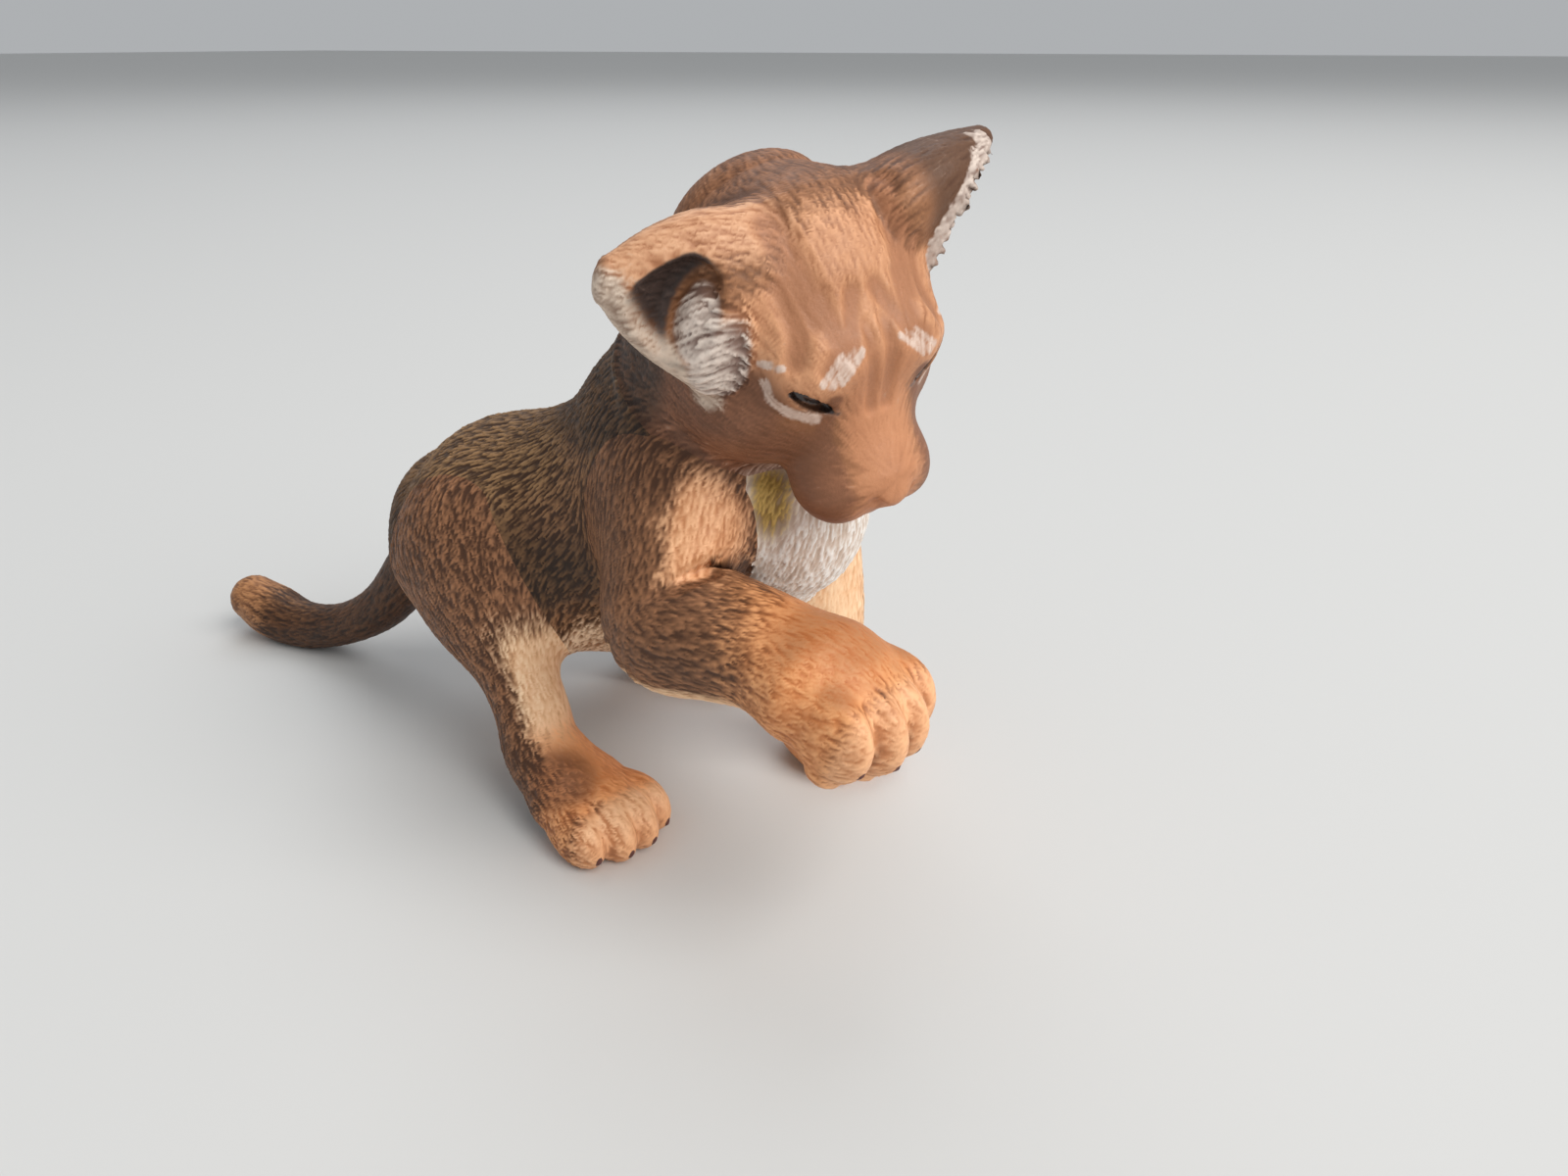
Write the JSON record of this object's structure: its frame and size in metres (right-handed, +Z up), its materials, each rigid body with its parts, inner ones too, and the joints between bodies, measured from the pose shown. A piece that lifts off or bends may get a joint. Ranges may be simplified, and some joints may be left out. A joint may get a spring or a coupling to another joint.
{
  "type": "toy wild cat cub figure",
  "caption": "Small moulded vinyl figure of a young wild cat standing with one forepaw raised, head turned down and a long tail resting on the ground.",
  "frame": {"origin": "on the ground, under the middle of the figure's box", "axes": "+X forward along the back, +Y to the cub's left, +Z up"},
  "size_m": [0.059, 0.029, 0.0378],
  "materials": {
    "coat": "painted vinyl, brown wash in the fur grooves over tan ridges, satin",
    "face": "painted vinyl, orange brown with cream eye and ear marks, satin",
    "paws": "painted vinyl, brown fading to bright orange paws, satin"
  },
  "bodies": {
    "root": {"torso": "coat", "head": "face", "foreleg_right": "paws", "foreleg_left": "paws", "hind_leg_right": "paws", "hind_leg_left": "paws", "tail": "coat"}
  },
  "joints": []
}
